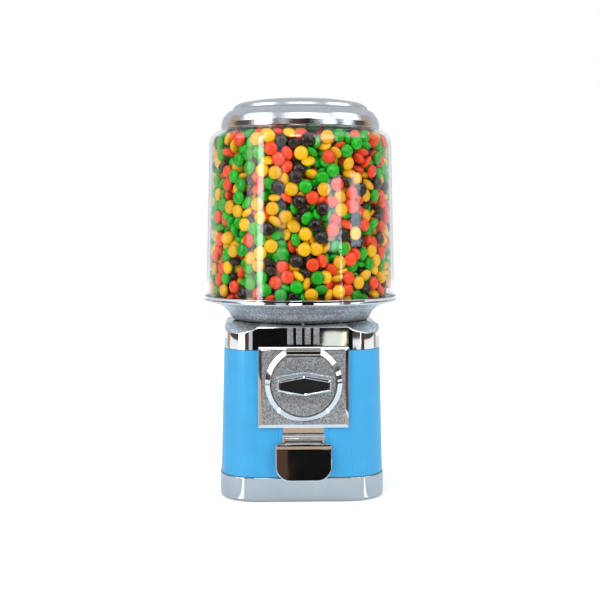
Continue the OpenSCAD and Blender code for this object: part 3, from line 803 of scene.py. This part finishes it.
def make_hood():
    """The chute's surround: the ledge over the door, two sides with the pin's barrels, and a sill."""
    ledge = fillet([
        (-74.6, 71.0), (-76.2, 71.0, 0.3), (-76.2, 65.4, 0.5), (-78.4, 63.9, 1.4), (-78.0, 60.9, 1.6),
        (-81.6, 60.0, 0.8), (-81.6, 59.0, 0.3), (-74.6, 59.0),
    ], closed=True, steps=5)
    side = fillet([
        (-77.0, 28.0), (-82.6, 28.0), (-82.6, 52.5, 1.0), (-79.0, 56.2, 1.0), (-79.0, 59.6), (-77.0, 59.6),
    ], closed=True)
    sill = fillet([(-78.2, 26.0), (-86.2, 26.0, 0.6), (-86.2, 28.0, 0.6), (-78.2, 28.0)], closed=True)
    barrel = circle(PIN_Y, PIN_Z, 2.1, 24)
    parts = [extrude_mesh(ledge, -20.2, 20.2, "X"), extrude_mesh(sill, -20.2, 20.2, "X")]
    for x in (-20.2, 17.5):
        parts.append(extrude_mesh(side, x, x + 2.7, "X"))
        parts.append(extrude_mesh(barrel, x - 0.05, x + 2.75, "X"))
    add_piece("chute_surround", merged(*parts), CHROME, "housing", "chrome", 30, ["chute_hood"])


def door_half_width(z, inset):
    """Half the door's width at the height z, with its outline drawn in by inset."""
    drop = max(0.0, DOOR_Z0 + DOOR_CORNER - z)
    reach = DOOR_CORNER - inset
    return DOOR_HALF - DOOR_CORNER + math.sqrt(max(0.0, reach * reach - drop * drop))


def door_surface(inset, lift):
    """Rows of points across the door, from the top edge down to the bottom one.

    The band on top is upright; below it the skin leans out.
    """
    bend, top, lean, half_thick = 51.4, 56.0, 5.0, 0.55
    reach = DOOR_CORNER - inset
    levels = [top - inset, bend + 0.9, bend + 0.3, bend - 0.3, bend - 0.9, 44.0, 38.0]
    levels += [DOOR_Z0 + DOOR_CORNER - reach * math.sin(math.pi / 2 * k / 14) for k in range(15)]
    rows = []
    for z in levels:
        y = DOOR_FRONT + half_thick - lean * max(0.0, bend - z) / (bend - DOOR_Z0) - lift
        x = door_half_width(z, inset)
        rows.append([(x * u, y, z) for u in (-1, -0.6, -0.2, 0.2, 0.6, 1)])
    return rows


def make_door():
    """Pressed flap: a mirror-bright skin whose edge rolls back, and two hinge ears."""
    roll = [(0.95, 0.55), (0.4, 0.3), (0.0, -0.25), (0.0, -0.55)]
    sheets = [door_surface(inset, lift) for inset, lift in roll]
    rows, across = len(sheets[0]), len(sheets[0][0])
    count = rows * across
    rim = [(i, 0) for i in range(rows)] + [(rows - 1, k) for k in range(1, across)]
    rim += [(i, across - 1) for i in range(rows - 2, -1, -1)] + [(0, k) for k in range(across - 2, 0, -1)]
    vertices = [point for sheet in (sheets[0], sheets[-1]) for row in sheet for point in row]
    faces = []
    for i in range(rows - 1):
        for k in range(across - 1):
            a = i * across + k
            quad = (a, a + across, a + across + 1, a + 1)
            faces.append(quad)
            faces.append(tuple(count + corner for corner in reversed(quad)))
    loops = [[i * across + k for i, k in rim]]
    for sheet in sheets[1:-1]:
        loops.append(list(range(len(vertices), len(vertices) + len(rim))))
        vertices += [sheet[i][k] for i, k in rim]
    loops.append([count + i * across + k for i, k in rim])
    for outer, inner in zip(loops, loops[1:]):
        for n in range(len(rim)):
            m = (n + 1) % len(rim)
            faces.append((outer[n], outer[m], inner[m], inner[n]))
    door = plain_object("door_skin", (vertices, faces))
    ears = []
    back = DOOR_FRONT + 0.6
    web = [(back, PIN_Z - 2.0), (PIN_Y, PIN_Z - 2.2), (PIN_Y, PIN_Z + 2.0), (back, PIN_Z + 1.8)]
    for x in (-23.3, 20.7):
        ears.append(extrude_mesh(circle(PIN_Y, PIN_Z, 2.6, 24), x, x + 2.6, "X"))
        ears.append(extrude_mesh(web, x + 0.1, x + 2.5, "X"))
    ear_object = plain_object("door_ears", merged(*ears))
    set_up(door, CHROME, "door", "chrome", 25, ["chute_door"])
    set_up(ear_object, CHROME, "door", "chrome", 30)


# ---------- candies ----------

CANDY_R = 6.65
CANDY_HALF_T = 3.5
CANDY_FILL = 0.605
CANDY_CORE_R = 56.0
CANDY_CORE_TOP = 331.0
ROD_R = 4.0
FUNNEL_R = 45.5
FUNNEL_Z = 157.0
FUNNEL_RISE = 0.797
FUNNEL_COS = 0.782
FUNNEL_SIN = 0.623
NECK_R = 68.0
SHOULDER_LEVEL = 351.3
NECK_LEVEL = 356.5
FIELD_R = 91.0
SHARES = (("green", 0.31), ("orange", 0.25), ("yellow", 0.26), ("brown", 0.18))


def lentil_mesh(around=22, rings=5):
    """A biconvex sweet with a rounded edge, its axis along Z."""
    latitudes = [math.pi / 2 * (k / rings) for k in range(-rings, rings + 1)]
    vertices, faces = [(0, 0, -CANDY_HALF_T)], []
    for lat in latitudes[1:-1]:
        r = CANDY_R * math.cos(lat)
        z = CANDY_HALF_T * math.sin(lat)
        for k in range(around):
            angle = 2 * math.pi * k / around
            vertices.append((r * math.cos(angle), r * math.sin(angle), z))
    vertices.append((0, 0, CANDY_HALF_T))
    levels = len(latitudes) - 2
    top = 1 + (levels - 1) * around
    for k in range(around):
        n = (k + 1) % around
        faces.append((0, 1 + n, 1 + k))
        faces.append((len(vertices) - 1, top + k, top + n))
        for i in range(levels - 1):
            a = 1 + i * around
            faces.append((a + k, a + n, a + around + n, a + around + k))
    return np.array(vertices, float), faces


class Packing:
    """Settles sweets between the globe's wall, the bowl, the fill level and an inner cylinder.

    Each sweet is a rigid set of seven balls. Overlapping balls push their sweets apart and round.
    """

    def __init__(self, seed):
        self.rng = np.random.default_rng(seed)
        ring = 3.95
        offsets = [(0, 0, 0)]
        offsets += [(ring * math.cos(a), ring * math.sin(a), 0) for a in np.arange(6) * math.pi / 3]
        self.local = np.array(offsets)
        self.radii = np.array([CANDY_HALF_T] + [CANDY_R - ring] * 6)
        self.place()

    @staticmethod
    def wall(z):
        slope = (GLOBE_R - GLOBE_TOP_R) / (GLOBE_TOP - SHOULDER_R - GLOBE_Z)
        return GLOBE_R - GLOBE_WALL - 0.2 - slope * (np.clip(z, GLOBE_Z, None) - GLOBE_Z)

    def place(self):
        rng = self.rng
        low, high = 158.0, 354.0
        tries = 60000
        r = np.sqrt(rng.uniform(0, FIELD_R ** 2, tries))
        z = rng.uniform(low, high, tries)
        floor = FUNNEL_Z + (r - FUNNEL_R) * FUNNEL_RISE
        outside_core = (r > CANDY_CORE_R) | (z > CANDY_CORE_TOP)
        below_shoulder = (r < NECK_R) | (z < SHOULDER_LEVEL)
        inside = (r < self.wall(z)) & (z > floor) & outside_core & below_shoulder
        volume = inside.mean() * math.pi * FIELD_R ** 2 * (high - low)
        one = 4 / 3 * math.pi * CANDY_R ** 2 * CANDY_HALF_T
        clear_of_core = (r > CANDY_CORE_R + 3) | (z > CANDY_CORE_TOP + 3)
        clear = (r < self.wall(z) - 4) & (z > floor + 4) & clear_of_core & (r > ROD_R + 4)
        keep = rng.permutation(np.flatnonzero(inside & clear))[: int(CANDY_FILL * volume / one)]
        self.count = len(keep)
        angle = rng.uniform(0, 2 * math.pi, self.count)
        self.x = np.stack([r[keep] * np.cos(angle), r[keep] * np.sin(angle), z[keep]], 1)
        quaternions = rng.normal(size=(self.count, 4))
        quaternions /= np.linalg.norm(quaternions, axis=1)[:, None]
        self.R = self.to_matrices(quaternions)
        self.flat = rng.random(self.count) < 0.6

    @staticmethod
    def to_matrices(q):
        w, x, y, z = q.T
        return np.stack([
            1 - 2 * (y * y + z * z), 2 * (x * y - w * z), 2 * (x * z + w * y),
            2 * (x * y + w * z), 1 - 2 * (x * x + z * z), 2 * (y * z - w * x),
            2 * (x * z - w * y), 2 * (y * z + w * x), 1 - 2 * (x * x + y * y),
        ], 1).reshape(-1, 3, 3)

    @staticmethod
    def spin(vectors):
        """Rotation matrices of small rotation vectors."""
        angle = np.linalg.norm(vectors, axis=1)
        axis = vectors / np.maximum(angle, 1e-9)[:, None]
        half = angle / 2
        q = np.concatenate([np.cos(half)[:, None], axis * np.sin(half)[:, None]], 1)
        return Packing.to_matrices(q)

    def balls(self):
        return self.x[:, None, :] + np.einsum("nij,kj->nki", self.R, self.local)

    def near_pairs(self, points, reach):
        """Index pairs of points of different sweets closer than reach, found on a grid."""
        cell = np.floor(points / reach).astype(np.int64)
        cell -= cell.min(0) - 1
        size = cell.max(0) + 2
        key = (cell[:, 0] * size[1] + cell[:, 1]) * size[2] + cell[:, 2]
        order = np.argsort(key, kind="stable")
        sorted_key = key[order]
        found = []
        steps = [(a, b, c) for a in (-1, 0, 1) for b in (-1, 0, 1) for c in (-1, 0, 1)]
        for a, b, c in steps:
            shift = (a * size[1] + b) * size[2] + c
            if shift < 0:
                continue
            start = np.searchsorted(sorted_key, key + shift, "left")
            stop = np.searchsorted(sorted_key, key + shift, "right")
            number = stop - start
            first = np.repeat(np.arange(len(points)), number)
            inner = np.arange(number.sum()) - np.repeat(np.cumsum(number) - number, number)
            second = order[np.repeat(start, number) + inner]
            if shift == 0:
                keep = first < second
                first, second = first[keep], second[keep]
            found.append((first, second))
        first = np.concatenate([f for f, _ in found])
        second = np.concatenate([s for _, s in found])
        k = len(self.local)
        keep = first // k != second // k
        first, second = first[keep], second[keep]
        gap = np.linalg.norm(points[first] - points[second], axis=1)
        keep = gap < reach
        return first[keep], second[keep]

    def settle(self, rounds):
        k = len(self.local)
        radii = np.tile(self.radii, self.count)
        arm = np.sum(self.local ** 2) + 12.0
        for step in range(rounds):
            points = self.balls().reshape(-1, 3)
            if step % 5 == 0:
                first, second = self.near_pairs(points, 2 * CANDY_HALF_T + 0.8)
            push = np.zeros_like(points)
            d = points[first] - points[second]
            gap = np.linalg.norm(d, axis=1)
            over = radii[first] + radii[second] - gap
            on = over > 0
            move = d[on] / np.maximum(gap[on], 1e-6)[:, None] * (0.5 * over[on])[:, None]
            for axis in range(3):
                push[:, axis] += np.bincount(first[on], move[:, axis], len(points))
                push[:, axis] -= np.bincount(second[on], move[:, axis], len(points))
            hits = sum(np.bincount(side[on], minlength=len(points)) for side in (first, second))
            push /= np.maximum(1.0, 0.6 * hits)[:, None]
            # the wall, the inner cylinder, the bowl's slope, the fill level and the shoulder
            r = np.linalg.norm(points[:, :2], axis=1)
            out = points[:, :2] / np.maximum(r, 1e-6)[:, None]
            z = points[:, 2]
            past = np.maximum(0, r + radii - self.wall(z))
            into_core = np.maximum(0, CANDY_CORE_R - r)
            over_core = np.maximum(0, CANDY_CORE_TOP + radii - z)
            lift = np.where((into_core > 0) & (over_core < into_core), over_core, 0)
            short = np.where((over_core > 0) & (lift == 0), into_core, 0)
            short = np.minimum(np.maximum(short, ROD_R + radii - r), 4.0)
            push[:, 2] += 0.8 * lift
            push[:, :2] += out * (0.8 * (short - past))[:, None]
            slope = (FUNNEL_Z + (r - FUNNEL_R) * FUNNEL_RISE - z) * FUNNEL_COS + radii
            low = np.maximum(0, slope)
            push[:, 2] += 0.7 * low * FUNNEL_COS
            push[:, :2] -= out * (0.7 * low * FUNNEL_SIN)[:, None]
            level = np.where(r < NECK_R, NECK_LEVEL, SHOULDER_LEVEL)
            high = np.maximum(0, z + radii - level)
            push[:, 2] -= 0.8 * high
            inner = SHOULDER_R - GLOBE_WALL - 0.2
            dr, dz = r - (GLOBE_TOP_R - SHOULDER_R), z - (GLOBE_TOP - SHOULDER_R)
            away = np.hypot(dr, dz)
            beyond = np.where((dr > 0) & (dz > 0), np.maximum(0, away + radii - inner), 0)
            beyond = np.minimum(beyond, 6.0)
            push[:, :2] -= out * (0.8 * beyond * dr / np.maximum(away, 1e-6))[:, None]
            push[:, 2] -= 0.8 * beyond * dz / np.maximum(away, 1e-6)
            push = push.reshape(self.count, k, 3)
            touching = np.maximum(1, np.sum(np.abs(push).sum(2) > 1e-6, axis=1))
            shift = push.sum(1) / touching[:, None]
            arms = points.reshape(self.count, k, 3) - self.x[:, None, :]
            torque = np.cross(arms, push).sum(1) / arm
            if step < 0.7 * rounds:
                normal = self.R[:, :, 2]
                ring_r = np.linalg.norm(self.x[:, :2], axis=1)
                level = np.zeros((self.count, 1))
                radial = np.concatenate([self.x[:, :2] / ring_r[:, None], level], 1)
                radial *= np.sign(np.sum(normal * radial, 1) + 1e-9)[:, None]
                beside = self.flat & (ring_r > self.wall(self.x[:, 2]) - 7.5)
                torque += 0.06 * np.cross(normal, radial) * beside[:, None]
            length = np.linalg.norm(shift, axis=1)
            shift *= np.minimum(1.0, 1.5 / np.maximum(length, 1e-6))[:, None]
            turn = np.linalg.norm(torque, axis=1)
            torque *= np.minimum(1.0, 0.25 / np.maximum(turn, 1e-6))[:, None]
            self.x += shift
            self.R = self.spin(torque) @ self.R


def make_candies():
    packing = Packing(SEED)
    packing.settle(420)
    rng = np.random.default_rng(SEED + 1)
    bounds = np.cumsum([share for _, share in SHARES])
    kind = np.searchsorted(bounds, rng.random(packing.count) * bounds[-1])
    vertices, faces = lentil_mesh()
    for i, (colour, _) in enumerate(SHARES):
        mine = np.flatnonzero(kind == i)
        for part, members in enumerate(np.array_split(mine, 2)):
            size = rng.normal(0.98, 0.015, len(members))
            points = np.einsum("nij,kj->nki", packing.R[members], vertices) * size[:, None, None]
            points += packing.x[members][:, None, :]
            obj = many_copies(f"candies_{colour}_{part + 1}", points, faces)
            obj.data.materials.append(CANDY[colour])
            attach(obj, "housing")
            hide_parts("candy_load")


def many_copies(name, points, faces):
    """One mesh of the same shape repeated, with each copy's own points."""
    copies, per_copy = points.shape[:2]
    loops = np.concatenate([np.array(face) for face in faces])
    totals = np.array([len(face) for face in faces])
    mesh = bpy.data.meshes.new(name)
    mesh.vertices.add(copies * per_copy)
    mesh.vertices.foreach_set("co", (points * MM).astype(np.float32).ravel())
    all_loops = (loops[None, :] + per_copy * np.arange(copies)[:, None]).ravel()
    mesh.loops.add(len(all_loops))
    mesh.loops.foreach_set("vertex_index", all_loops.astype(np.int32))
    starts = np.cumsum(np.tile(totals, copies)) - np.tile(totals, copies)
    mesh.polygons.add(copies * len(faces))
    mesh.polygons.foreach_set("loop_start", starts.astype(np.int32))
    mesh.update(calc_edges=True)
    mesh.validate()
    mesh.shade_smooth()
    return new_object(name, mesh)


def make_candy_core():
    """The sweets behind the ones that are modelled singly, as one lumpy column in the brown sweets' dark
    colour: painted shade for the depths of the heap.
    """
    rings = []
    painted_shading_heights = 152.0
    for i in range(60):
        z = painted_shading_heights + (CANDY_CORE_TOP - 1.0 - painted_shading_heights) * i / 59
        ring = []
        for k in range(96):
            angle = 2 * math.pi * k / 96
            swell = 1.2 * math.sin(14 * angle + 2.1 * i) * math.sin(0.9 * i + 5 * angle)
            limit = 44.5 if z < 157 else 44.5 + (z - 157) * 1.25
            radius = min(CANDY_CORE_R - 2.5 + swell, limit)
            ring.append((radius * math.cos(angle), radius * math.sin(angle), z))
        rings.append(ring)
    # the whole column takes the brown sweets' colour, so the heap's hidden depth is painted dark: painted
    # shade
    add_piece("candy_core", ring_mesh(rings, True, True), CANDY["brown"], "housing", "candy", 180)


# ---------- studio ----------


def flat_colour(name, colour, strength=0.0):
    numbers = dict(Base_Color=(*colour, 1), Roughness=0.9, Specular_IOR_Level=0.1)
    material, tree, shader = new_material(name, **numbers)
    if strength:
        shader.inputs["Emission Color"].default_value = (*colour, 1)
        shader.inputs["Emission Strength"].default_value = strength
    return material


def panel(name, centre, size, aim, material, only_reflected=True):
    """A flat rectangular card that faces the point aim, seen only in reflections unless told."""
    mesh = bpy.data.meshes.new(name)
    w, h = size[0] / 2, size[1] / 2
    mesh.from_pydata([(-w, -h, 0), (w, -h, 0), (w, h, 0), (-w, h, 0)], [], [(0, 1, 2, 3)])
    mesh.materials.append(material)
    obj = new_object(name, mesh)
    obj.location = centre
    obj.rotation_euler = (Vector(aim) - Vector(centre)).to_track_quat("Z", "Y").to_euler()
    if only_reflected:
        obj.visible_camera = False
        obj.visible_diffuse = False
        obj.visible_shadow = False
        obj.visible_transmission = False


def area_light(name, centre, size, aim, power):
    """A soft lamp that only lights: neither the camera nor a reflection shows it."""
    data = bpy.data.lights.new(name, "AREA")
    data.shape = "RECTANGLE"
    data.size, data.size_y = size
    data.energy = power
    obj = new_object(name, data)
    obj.location = centre
    obj.rotation_euler = (Vector(aim) - Vector(centre)).to_track_quat("-Z", "Y").to_euler()
    obj.visible_camera = False
    obj.visible_glossy = False


def at(azimuth, distance, height):
    """A point round the object: azimuth 0 is in front, positive to the right."""
    a = math.radians(azimuth)
    return (distance * math.sin(a), -distance * math.cos(a), height)


# reflected cards: colour and strength, then name, centre, size, point faced, colour
CARD_COLOURS = {
    "black": ((0.004, 0.004, 0.004), 0.0),
    "tan": ((0.31, 0.225, 0.155), 0.5),
    "brown": ((0.06, 0.032, 0.022), 0.3),
    "pane": ((0.42, 0.44, 0.39), 1.0),
    "cream": ((0.85, 0.75, 0.50), 0.9),
    "tan_dim": ((0.24, 0.17, 0.12), 0.8),
    "sparkle": ((1.0, 1.0, 1.0), 11.0),
    "haze": ((1.0, 0.85, 0.80), 1.2),
    "window": ((0.72, 0.88, 1.0), 2.4),
    "soft": ((0.92, 0.97, 1.0), 0.95),
    "grey": ((0.40, 0.42, 0.45), 0.5),
    "table": ((0.57, 0.65, 0.70), 0.28),
    "white": ((1.0, 1.0, 1.0), 1.9),
    "bright": ((1.0, 1.0, 1.0), 6.0),
}
CARDS = (
    ("table", (0, 0.4, 0.001), (3.6, 2.4), (0, 0.4, 1), "table"),
    ("tan_table", (-0.24, -0.455, 0.002), (1.32, 0.41), (-0.24, -0.455, 1), "tan"),
    ("brown_table", (0.9, -0.5, 0.002), (0.9, 0.5), (0.9, -0.5, 1), "brown"),
    ("brown_right", at(54, 1.5, 0.35), (0.34, 1.1), (0, 0, 0.3), "brown"),
    ("black_table", (0, -1.83, 0.002), (3.2, 2.34), (0, -1.83, 1), "black"),
    ("dark_front", (0, -2.6, 1.0), (1.9, 2.2), (0, 0, 1.0), "black"),
    ("grey_left", at(-26, 2.3, 0.7), (0.5, 1.9), (0, 0, 0.5), "grey"),
    ("brown_left", at(-38, 1.9, 0.6), (0.42, 1.6), (0, 0, 0.4), "brown"),
    ("strip_left", at(-51, 1.6, 0.6), (0.21, 1.4), (0, 0, 0.4), "bright"),
    ("haze_left", at(-63, 1.75, 0.6), (0.4, 1.3), (0, 0, 0.4), "haze"),
    ("tan_left", at(-118, 1.8, 0.6), (0.6, 1.2), (0, 0, 0.4), "tan"),
    ("tan_right", at(112, 1.8, 0.6), (0.5, 1.2), (0, 0, 0.4), "tan"),
    ("window_high", at(30, 1.7, 0.98), (0.9, 0.9), (0, 0, 0.3), "white"),
    ("window_right", at(53, 1.6, 0.36), (1.3, 0.17), (0, 0, 0.36), "window"),
    ("pane", (0.122, -1.375, 0.099), (0.042, 0.043), (0.122, 0, 0.099), "pane"),
    ("pane_edge", (0.148, -1.375, 0.099), (0.010, 0.043), (0.148, 0, 0.099), "cream"),
    ("brown_behind_camera", (-0.262, -2.1, 0.45), (0.6, 0.5), (-0.262, 0, 0.45), "brown"),
    ("candy_sparkle", at(-8, 1.55, 1.15), (0.4, 0.34), (0, 0, 0.28), "sparkle"),
    ("tan_high", (0, -1.5, 1.75), (1.5, 0.9), (0, 0, 0.1), "tan_dim"),
    ("white_high", (0, -1.42, 1.66), (1.5, 0.34), (0, 0, 0.1), "soft"),
    ("tan_low_left", at(-49, 1.7, 0.3), (0.26, 1.0), (0, 0, 0.3), "tan_dim"),
    ("soft_high_left", at(-76, 1.8, 1.55), (1.3, 1.2), (0, 0, 0.2), "soft"),
    ("soft_high_right", at(76, 1.8, 1.55), (1.3, 1.2), (0, 0, 0.2), "soft"),
    ("line_right", at(47, 1.5, 0.2), (0.02, 0.22), (0, 0, 0.2), "sparkle"),
    ("floor_glint_left", (-0.113, -0.130, 0.0025), (0.15, 0.007), (-0.185, -0.061, 1), "white"),
    ("floor_glint_right", (0.123, -0.120, 0.0025), (0.15, 0.004), (0.182, -0.039, 1), "white"),
)


def make_world(scene):
    """White for the camera, soft white for lighting, and a room for reflections.

    The room is dark at eye level in front and beside, and bright overhead and behind.
    """
    world = bpy.data.worlds.new("studio")
    scene.world = world
    world.use_nodes = True
    tree = world.node_tree
    light = tree.nodes["Background"]
    light.inputs["Color"].default_value = (1.0, 1.0, 1.0, 1.0)
    path = node(tree, "ShaderNodeLightPath")
    strength = span(tree, path.outputs["Is Camera Ray"], WORLD_LIGHT, 1.0)
    tree.links.new(strength, light.inputs["Strength"])
    split = node(tree, "ShaderNodeSeparateXYZ")
    tree.links.new(node(tree, "ShaderNodeTexCoord").outputs["Generated"], split.inputs["Vector"])
    up = span(tree, split.outputs["Z"], 0.0, 1.0, 0.22, 0.5)
    behind = span(tree, split.outputs["Y"], 0.0, 1.0, 0.35, 0.6)
    bright = math_node(tree, "MAXIMUM", up, behind)
    room = node(tree, "ShaderNodeBackground")
    colours = ramp(tree, bright, [(0.0, (0.085, 0.066, 0.058)), (1.0, (0.56, 0.60, 0.64))])
    tree.links.new(colours, room.inputs["Color"])
    mix = node(tree, "ShaderNodeMixShader")
    tree.links.new(path.outputs["Is Glossy Ray"], mix.inputs["Fac"])
    tree.links.new(light.outputs["Background"], mix.inputs[1])
    tree.links.new(room.outputs["Background"], mix.inputs[2])
    tree.links.new(mix.outputs["Shader"], tree.nodes["World Output"].inputs["Surface"])


def make_studio():
    """Pale floor, three soft lamps, and the cards that the chrome and the globe reflect."""
    scene = bpy.context.scene
    scene.view_settings.view_transform = "Standard"
    make_world(scene)
    pale = flat_colour("floor_white", (0.95, 0.95, 0.95), 0.2)
    panel("floor", (0, 0, -0.0002), (9.0, 9.0), (0, 0, 1), pale, False)

    target = (0, 0, 0.22)
    area_light("key", at(-35, 1.5, 1.3), (0.8, 0.8), target, 13)
    area_light("fill", at(40, 1.7, 0.9), (0.8, 0.8), target, 6.5)
    area_light("top", (0, 0.1, 1.7), (1.0, 1.0), target, 5)

    colours = {}
    for name, (colour, strength) in CARD_COLOURS.items():
        colours[name] = flat_colour("card_" + name, colour, strength)
    for name, centre, size, aim, colour in CARDS:
        panel(name, centre, size, aim, colours[colour])


# ---------- build ----------

make_camera()
make_studio()
finish_cad_nodes()
make_base()
make_body_shell()
make_notch_edges()
make_cap()
make_bowl()
make_ring()
make_globe()
make_lid()
make_faceplate()
make_knob()
make_hood()
make_door()
make_candy_core()
make_candies()
